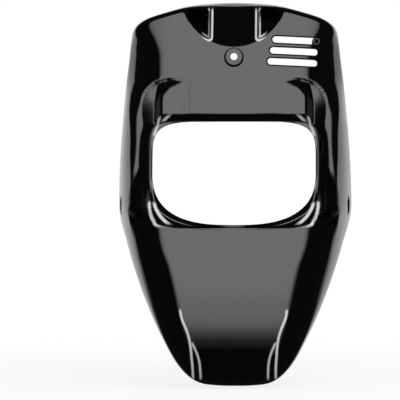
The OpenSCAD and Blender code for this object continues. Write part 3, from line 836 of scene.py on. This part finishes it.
def paleFloor():
    m = bpy.data.materials.new("paleFloor")
    m.use_nodes = True
    nt = m.node_tree
    base = nt.nodes["Principled BSDF"]
    base.inputs["Base Color"].default_value = studio["floorColour"]
    base.inputs["Roughness"].default_value = studio["floorRough"]
    base.inputs["Specular IOR Level"].default_value = 0
    path = nt.nodes.new("ShaderNodeLightPath")
    white = nt.nodes.new("ShaderNodeEmission")
    white.inputs["Strength"].default_value = 1
    place = nt.nodes.new("ShaderNodeTexCoord")
    far = nt.nodes.new("ShaderNodeVectorMath")
    far.operation = "LENGTH"
    nt.links.new(place.outputs["Object"], far.inputs[0])
    near, away = (v / studio["floorSize"] for v in studio["floorWhiteFrom"])
    whiteness = nodeRange(nt, far.outputs["Value"], near, away, *studio["floorWhite"])
    # the camera sees it near white, and the rest stays for the shadow
    mix = nt.nodes.new("ShaderNodeMixShader")
    nt.links.new(nodeMath(nt, "MULTIPLY", path.outputs["Is Camera Ray"], whiteness), mix.inputs[0])
    nt.links.new(base.outputs[0], mix.inputs[1])
    nt.links.new(white.outputs[0], mix.inputs[2])
    nt.links.new(mix.outputs[0], nt.nodes["Material Output"].inputs["Surface"])
    return m

pickNone()
bpy.ops.mesh.primitive_plane_add(size=1, location=(0, 0, studio["floorDrop"]))
floor = bpy.context.object
floor.name = "floor"
floor.scale = (studio["floorSize"], studio["floorSize"], 1)
floor.data.materials.append(paleFloor())
floor.visible_glossy = False

def background(nt, strength):
    n = nt.nodes.new("ShaderNodeBackground")
    n.inputs["Color"].default_value = (1, 1, 1, 1)
    if isinstance(strength, (int, float)):
        n.inputs["Strength"].default_value = strength
    else:
        nt.links.new(strength, n.inputs["Strength"])
    return n.outputs[0]

def studioWorld():
    # a broad box in front and a pale room behind for the gloss, even light, white for the camera
    w = bpy.data.worlds.new("studio")
    w.use_nodes = True
    nt = w.node_tree
    nt.nodes.clear()
    tc = nt.nodes.new("ShaderNodeTexCoord")
    sep = nt.nodes.new("ShaderNodeSeparateXYZ")
    nt.links.new(tc.outputs["Generated"], sep.inputs[0])
    sx, sy, sz = sep.outputs
    forward = nodeMath(nt, "MAXIMUM", nodeMath(nt, "MULTIPLY", sy, -1.0), 0.02)
    tanX = nodeMath(nt, "ABSOLUTE", nodeMath(nt, "DIVIDE", sx, forward))
    tanZ = nodeMath(nt, "DIVIDE", sz, forward)
    boxX = nodeRange(nt, tanX, *studio["boxSide"], 1, 0)
    boxUp = nodeRange(nt, tanZ, *studio["boxTop"], 1, 0)
    boxDown = nodeMath(nt, "ADD", *(nodeRange(nt, tanZ, a, b, 0, k) for a, b, k in studio["boxFoot"]))
    box = nodeMath(nt, "MULTIPLY", nodeMath(nt, "MULTIPLY", boxX, boxUp), boxDown)
    room = nodeMath(nt, "MULTIPLY", nodeRange(nt, sy, *studio["behindFrom"], 0, 1),
                    nodeRange(nt, sz, *studio["behindFoot"], 0, 1))
    around = nodeMath(nt, "ADD", nodeMath(nt, "MULTIPLY", room, studio["behind"]), studio["dark"])
    light = nodeMath(nt, "ADD", nodeMath(nt, "MULTIPLY", box, studio["softbox"]), around)
    path = nt.nodes.new("ShaderNodeLightPath")
    glossMix = nt.nodes.new("ShaderNodeMixShader")
    nt.links.new(path.outputs["Is Glossy Ray"], glossMix.inputs[0])
    nt.links.new(background(nt, studio["fill"]), glossMix.inputs[1])
    nt.links.new(background(nt, light), glossMix.inputs[2])
    cameraMix = nt.nodes.new("ShaderNodeMixShader")
    nt.links.new(path.outputs["Is Camera Ray"], cameraMix.inputs[0])
    nt.links.new(glossMix.outputs[0], cameraMix.inputs[1])
    nt.links.new(background(nt, 1.0), cameraMix.inputs[2])
    out = nt.nodes.new("ShaderNodeOutputWorld")
    nt.links.new(cameraMix.outputs[0], out.inputs["Surface"])
    return w

scene = bpy.context.scene
scene.world = studioWorld()

lampData = bpy.data.lights.new("softLamp", "AREA")
lampData.shape = "RECTANGLE"
lampData.size = studio["lampSize"]
lampData.size_y = studio["lampSize"]
lampData.energy = studio["lampPower"]
lamp = bpy.data.objects.new("softLamp", lampData)
lamp.location = studio["lampAt"]
lamp.rotation_mode = "QUATERNION"
aim = Vector(studio["lampAim"]) - Vector(studio["lampAt"])
lamp.rotation_quaternion = aim.to_track_quat("-Z", "Y")
lamp.visible_glossy = False
scene.collection.objects.link(lamp)

turn = math.radians(studio["cameraTurn"])
side = Vector((math.cos(turn), math.sin(turn), 0))
away = Vector((math.sin(turn), -math.cos(turn), 0))
camData = bpy.data.cameras.new("camera")
camData.lens = studio["lens"]
camData.sensor_width = 36
camData.clip_start = 0.1
camData.clip_end = 50
cam = bpy.data.objects.new("camera", camData)
cam.rotation_mode = "QUATERNION"
cam.location = Vector((0, 0, studio["height"])) + away * studio["cameraFar"] + side * studio["aside"]
cam.rotation_quaternion = (-away).to_track_quat("-Z", "Y")
scene.collection.objects.link(cam)
scene.camera = cam

scene.view_settings.view_transform = "Standard"
print("stage 7: studio")
